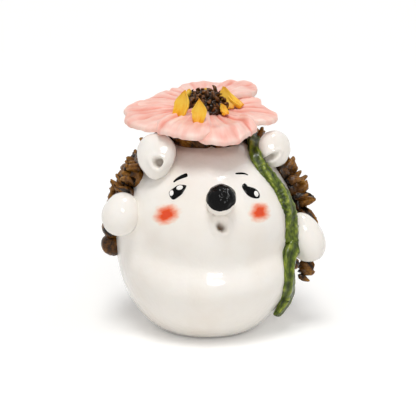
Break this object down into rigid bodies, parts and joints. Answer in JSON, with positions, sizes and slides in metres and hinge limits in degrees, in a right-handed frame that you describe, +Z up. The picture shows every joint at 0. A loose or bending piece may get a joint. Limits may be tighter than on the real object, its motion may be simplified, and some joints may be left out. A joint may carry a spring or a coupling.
{
  "type": "hedgehog_figurine",
  "caption": "Rigid glazed ceramic hedgehog ornament: hollow white egg body, brown clay quills on the back, stub arms, and a pink flower hat whose green stem hangs down one side.",
  "frame": {"origin": "middle of the flat foot that the ornament stands on, on the axis of the body", "axes": "+Z up, -Y the way the face looks, +X to the right as seen from the front, the side of the stem"},
  "size_m": [0.0772, 0.0746, 0.0876],
  "materials": {
    "white_glaze": "gloss",
    "quill_glaze": "gloss",
    "petal_glaze": "gloss",
    "stamen_glaze": "gloss",
    "heart_glaze": "gloss",
    "stem_glaze": "gloss",
    "black_glaze": "gloss"
  },
  "bodies": {
    "root": {"body_shell": "white_glaze", "flower_heart": "heart_glaze", "flower_seat": "quill_glaze", "left_arm": "white_glaze", "left_brow": "black_glaze", "left_ear": "white_glaze", "left_eye": "black_glaze", "nose": "black_glaze", "petal_1": "petal_glaze", "petal_2": "petal_glaze", "petal_3": "petal_glaze", "petal_4": "petal_glaze", "petal_5": "petal_glaze", "petal_6": "petal_glaze", "petal_7": "petal_glaze", "quill_strip_1": "quill_glaze", "quill_strip_10": "quill_glaze", "quill_strip_2": "quill_glaze", "quill_strip_3": "quill_glaze", "quill_strip_4": "quill_glaze", "quill_strip_5": "quill_glaze", "quill_strip_6": "quill_glaze", "quill_strip_7": "quill_glaze", "quill_strip_8": "quill_glaze", "quill_strip_9": "quill_glaze", "right_arm": "white_glaze", "right_brow": "black_glaze", "right_ear": "white_glaze", "right_eye": "black_glaze", "snout": "white_glaze", "stamen_1": "stamen_glaze", "stamen_2": "stamen_glaze", "stamen_3": "stamen_glaze", "stamen_4": "stamen_glaze", "stamen_5": "stamen_glaze", "stamen_6": "stamen_glaze", "stamen_7": "stamen_glaze", "stem": "stem_glaze"}
  },
  "joints": []
}
